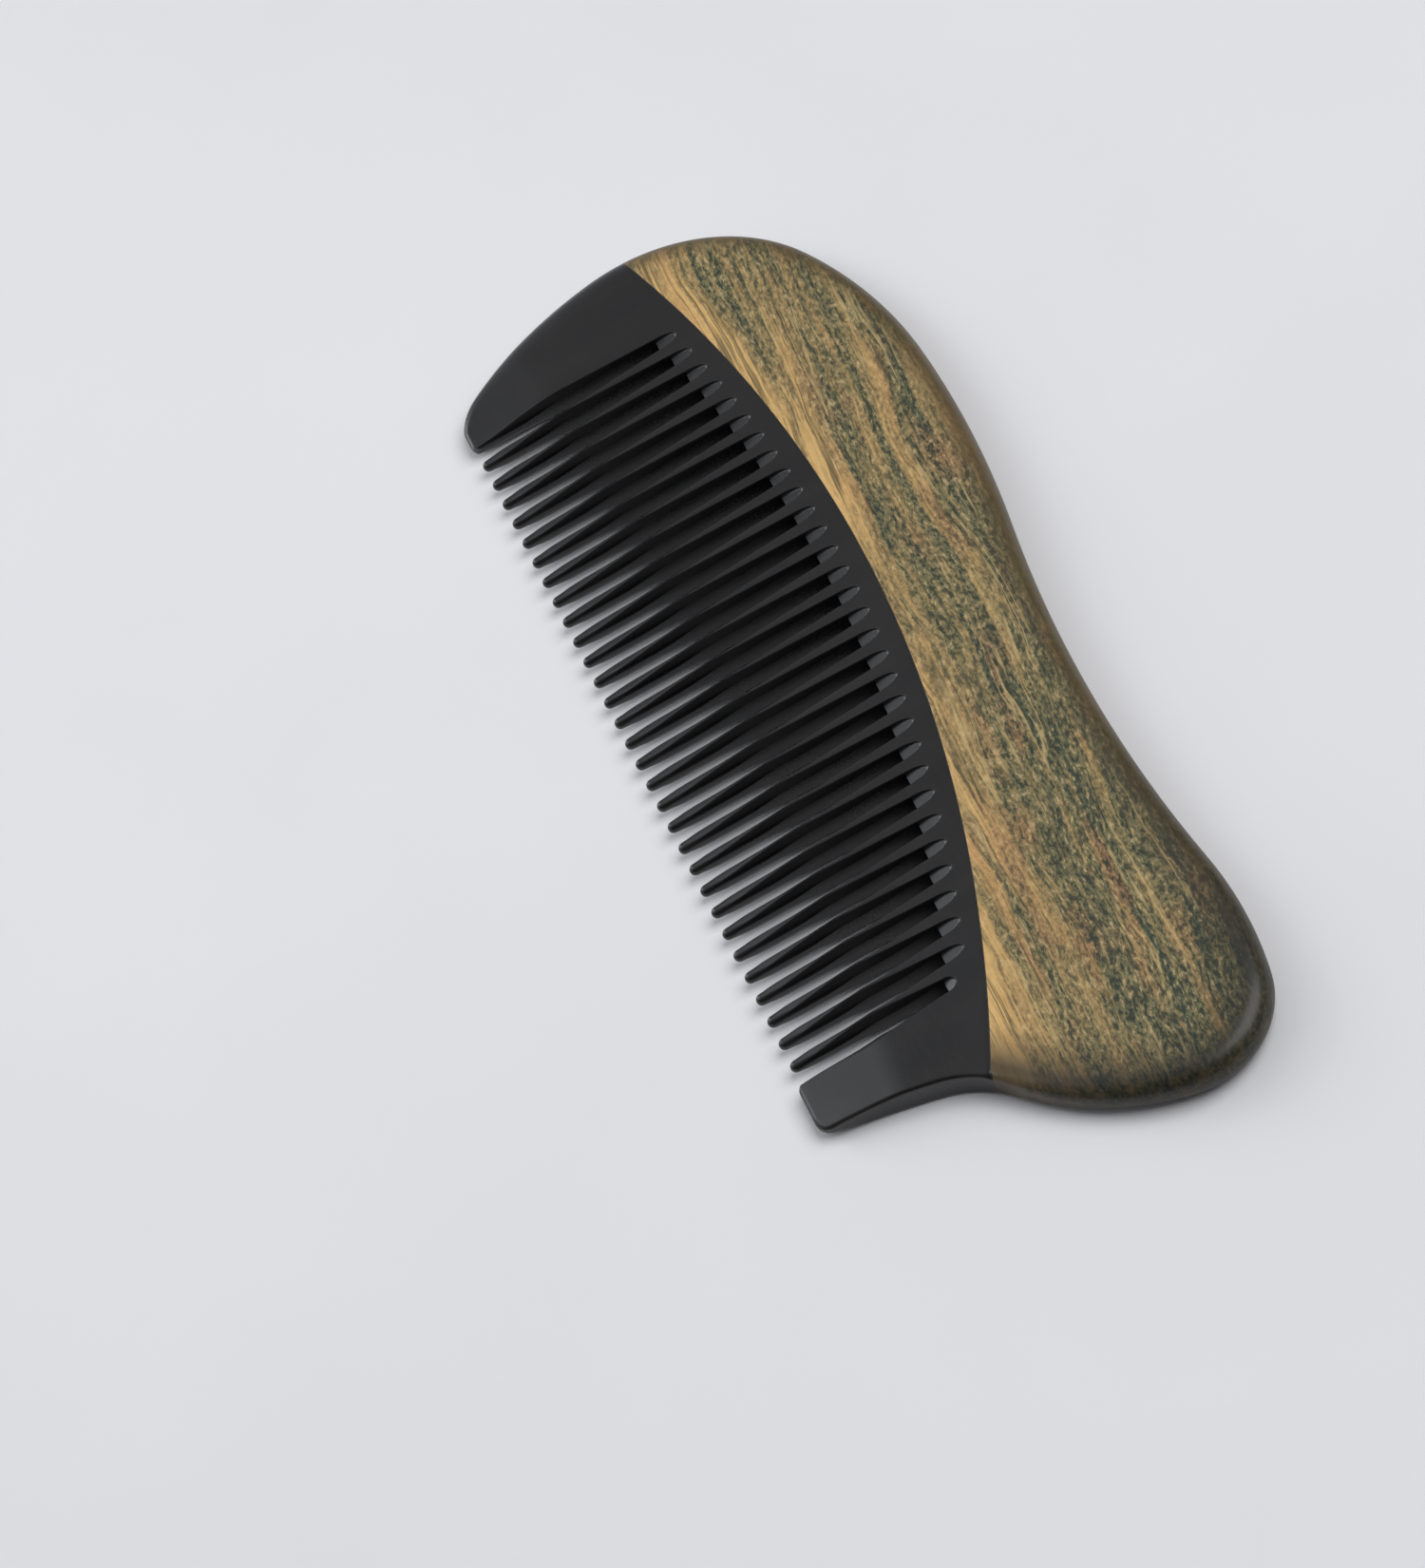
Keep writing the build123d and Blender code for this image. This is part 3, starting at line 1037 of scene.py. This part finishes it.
def wood_material():
    """Oily green wood, streaky and speckled, with painted shade darkening its rounded edge: brown along
    the back, near black on the tail lobe.
    """
    material, tree, shader, place = new_material("green_wood")
    grain = grain_coordinates(tree, place)
    along = add_node(tree, "SeparateXYZ", {"Vector": place}).outputs["X"]
    lobe = span(tree, along, *LOBE_X)
    surface, specks, streaks = wood_colour(tree, grain, lobe)
    # Painted shade: the rounded edge is darkened towards the outline, reaching further in and going
    # darker on the tail lobe.
    edge_shade_reach = span(tree, lobe, 0.0, 1.0, *EDGE_SHADE_REACH)
    into_edge_shade = math_node(tree, "DIVIDE", stored(tree, "from_edge"), edge_shade_reach)
    edge_shade_tone = mix(tree, lobe, EDGE_SHADE_BROWN, LOBE_EDGE_SHADE)
    surface = mix(tree, span(tree, into_edge_shade, 1.0, 0.25, 0.0, 0.88), surface, edge_shade_tone)

    rough = span(tree, specks, 0.35, 0.65, 0.38, 0.50)
    relief = weighted(tree, [(streaks, 0.6), (specks, 0.4)])
    bump = add_node(tree, "Bump", {"Height": relief, "Strength": 0.25, "Distance": 0.00012})
    connect(tree, shader, {"Base Color": surface, "Roughness": rough, "Normal": bump.outputs["Normal"]})
    shader.inputs["Coat Weight"].default_value = 0.08
    shader.inputs["Coat Roughness"].default_value = 0.2
    return material


# The spacing of the saw marks, in millimetres; a Wave texture turns by this many radians over a
# unit of length at a scale of 1.
SAW_MARK_SPACING = 0.36
WAVE_TURN = 20.0


def horn_material():
    """Polished black horn, with faint streaks, fine scratches, and saw marks inside the slots."""
    material, tree, shader, place = new_material("dark_horn")
    streaks = noise(tree, place, (0.25, 0.03, 0.5), detail=4.0)
    haze = noise(tree, place, (0.08, 0.08, 0.08), detail=3.0)
    scratches = noise(tree, place, (0.3, 2.6, 2.6), detail=2.0)
    ripples = noise(tree, place, (0.11, 0.11, 0.11), detail=1.0)
    body = ramp(tree, streaks, [
        (0.35, colour(10, 10, 11)),
        (0.58, colour(17, 16, 16)),
        (0.74, colour(28, 25, 22)),
    ])
    polish = span(tree, haze, 0.35, 0.65, 0.24, 0.34)
    rough = weighted(tree, [(polish, 1.0), (span(tree, scratches, 0.45, 0.75), 0.05)])
    saw_marks = add_node(tree, "TexWave", {
        "Vector": place,
        "Scale": math.tau / (WAVE_TURN * SAW_MARK_SPACING * METRES_PER_MM),
        "Distortion": 0.5,
        "Detail": 1.0,
        "Detail Scale": 0.4,
    }, bands_direction="Y").outputs["Fac"]
    facing = add_node(tree, "NewGeometry").outputs["True Normal"]
    facing_x = add_node(tree, "SeparateXYZ", {"Vector": facing}).outputs["X"]
    sideways = span(tree, math_node(tree, "ABSOLUTE", facing_x), 0.85, 0.97)
    off_outline = span(tree, stored(tree, "from_edge"), 0.5, 1.0)
    in_slots = math_node(tree, "MULTIPLY", sideways, off_outline)
    on_walls = math_node(tree, "MULTIPLY", saw_marks, in_slots)
    relief = weighted(tree, [(scratches, 0.008), (ripples, 0.5), (on_walls, 0.08)])
    bump = add_node(tree, "Bump", {"Height": relief, "Strength": 0.5, "Distance": 0.0001})
    connect(tree, shader, {"Base Color": body, "Roughness": rough, "Normal": bump.outputs["Normal"]})
    shader.inputs["IOR"].default_value = 1.55
    return material


def glue_material():
    """Dark amber glue in the joint line."""
    material, tree, shader, place = new_material("glue")
    clots = noise(tree, place, (0.6, 0.6, 0.6), detail=3.0)
    body = ramp(tree, clots, [(0.4, colour(20, 16, 12)), (0.65, colour(52, 38, 24))])
    rough = span(tree, clots, 0.35, 0.65, 0.3, 0.5)
    connect(tree, shader, {"Base Color": body, "Roughness": rough})
    return material


def floor_material():
    """Plain pale paper."""
    material, tree, shader, place = new_material("floor")
    mottle = noise(tree, place, (0.02, 0.02, 0.02), detail=4.0)
    body = ramp(tree, mottle, [(0.3, colour(236, 237, 240)), (0.7, colour(240, 240, 243))])
    tree.links.new(body, shader.inputs["Base Color"])
    shader.inputs["Roughness"].default_value = 0.7
    return material


# ---------------------------------------------------------------- the comb


def finish_piece(piece, material, node):
    """Gives a piece its material and its place in the CAD model."""
    piece.data.materials.append(material)
    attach(piece, "root")
    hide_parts(node)


wood = solid("wood_back_visual", wood_plan(), horn=False)
finish_piece(wood, wood_material(), "wood_back")

horn = solid("horn_tooth_plate_visual", horn_plan(), horn=True)
finish_piece(horn, horn_material(), "horn_tooth_plate")

glue = solid("glue_film_visual", glue_plan(), horn=True)
finish_piece(glue, glue_material(), "glue_film")


# ---------------------------------------------------------------- floor, light and camera

FLOOR_SIZE = 6.0
FLOOR_DROP = 0.0001

bpy.ops.mesh.primitive_plane_add(size=FLOOR_SIZE, location=(0.0, 0.0, -FLOOR_DROP))
floor = bpy.context.object
floor.name = "floor"
floor.data.materials.append(floor_material())


def area_light(name, power, size, place, aim, tint):
    """A soft square lamp at a place, pointing at an aim."""
    lamp = bpy.data.lights.new(name, "AREA")
    lamp.energy = power
    lamp.size = size
    lamp.color = tint
    holder = bpy.data.objects.new(name, lamp)
    holder.location = place
    direction = Vector(aim) - Vector(place)
    holder.rotation_euler = direction.to_track_quat("-Z", "Y").to_euler()
    bpy.context.scene.collection.objects.link(holder)


# Each lamp's name, power in watts, size, place and aim in metres, and tint.
LAMPS = (
    ("overhead", 15.0, 1.2, (0.15, 0.75, 1.25), (0.0, 0.0, 0.0), (1.0, 1.0, 1.0)),
    ("near_window", 5.0, 0.7, (-1.0, -0.9, 0.52), (0.0, 0.0, 0.0), (1.0, 1.0, 1.0)),
    ("card", 0.085, 0.15, (-0.120, -0.155, 0.22), (0.045, 0.0, 0.0), (0.90, 0.96, 1.0)),
)
for lamp_values in LAMPS:
    area_light(*lamp_values)

# The room: dim overhead and on the right, and brighter towards the window on the left. Its
# shades go from 0, straight away from the window, to 1, straight towards it.
WINDOW_DIRECTION = (-0.70, -0.62, 0.36)
ROOM_STRENGTH = 1.0
ROOM_SHADES = (
    (0.60, (0.09, 0.09, 0.095, 1.0)),
    (0.75, (0.22, 0.22, 0.23, 1.0)),
    (0.87, (0.50, 0.50, 0.52, 1.0)),
    (0.96, (0.46, 0.47, 0.50, 1.0)),
)

world = bpy.data.worlds.new("studio")
world.use_nodes = True
bpy.context.scene.world = world
world_tree = world.node_tree
direction = add_node(world_tree, "TexCoord").outputs["Generated"]
vectors = {0: direction, 1: WINDOW_DIRECTION}
towards = add_node(world_tree, "VectorMath", vectors, operation="DOT_PRODUCT").outputs["Value"]
sky = ramp(world_tree, span(world_tree, towards, -1.0, 1.0), ROOM_SHADES)
world_tree.links.new(sky, world_tree.nodes["Background"].inputs["Color"])
world_tree.nodes["Background"].inputs["Strength"].default_value = ROOM_STRENGTH

# The view: the camera's axes and place, in millimetres, given along the comb, across its upper
# face towards the back, and out of that face.
VIEW_RIGHT = (0.3699, 0.8626, -0.3452)
VIEW_UP = (-0.7106, 0.5020, 0.4930)
VIEW_BACK = (0.5985, 0.0629, 0.7986)
VIEW_PLACE = (443.94, 26.58, 590.4)
LENS_MM = 144.0
SENSOR_MM = 36.0
CLIP_START = 0.01


def place_camera():
    """The camera, at the photograph's viewing angle."""
    tilt = math.atan((BACK_THICKNESS - CREASE_THICKNESS) / (BACK_Y - CREASE_Y))
    face = Matrix.Rotation(tilt, 3, "X")
    axes = Matrix((VIEW_RIGHT, VIEW_UP, VIEW_BACK)).transposed()
    turn = face @ axes
    lens = bpy.data.cameras.new("camera")
    lens.lens = LENS_MM
    lens.sensor_width = SENSOR_MM
    lens.clip_start = CLIP_START
    camera = bpy.data.objects.new("camera", lens)
    place = face @ Vector(VIEW_PLACE) * METRES_PER_MM
    camera.matrix_world = Matrix.Translation(place) @ turn.to_4x4()
    bpy.context.scene.collection.objects.link(camera)
    bpy.context.scene.camera = camera


place_camera()
bpy.context.scene.view_settings.view_transform = "Standard"
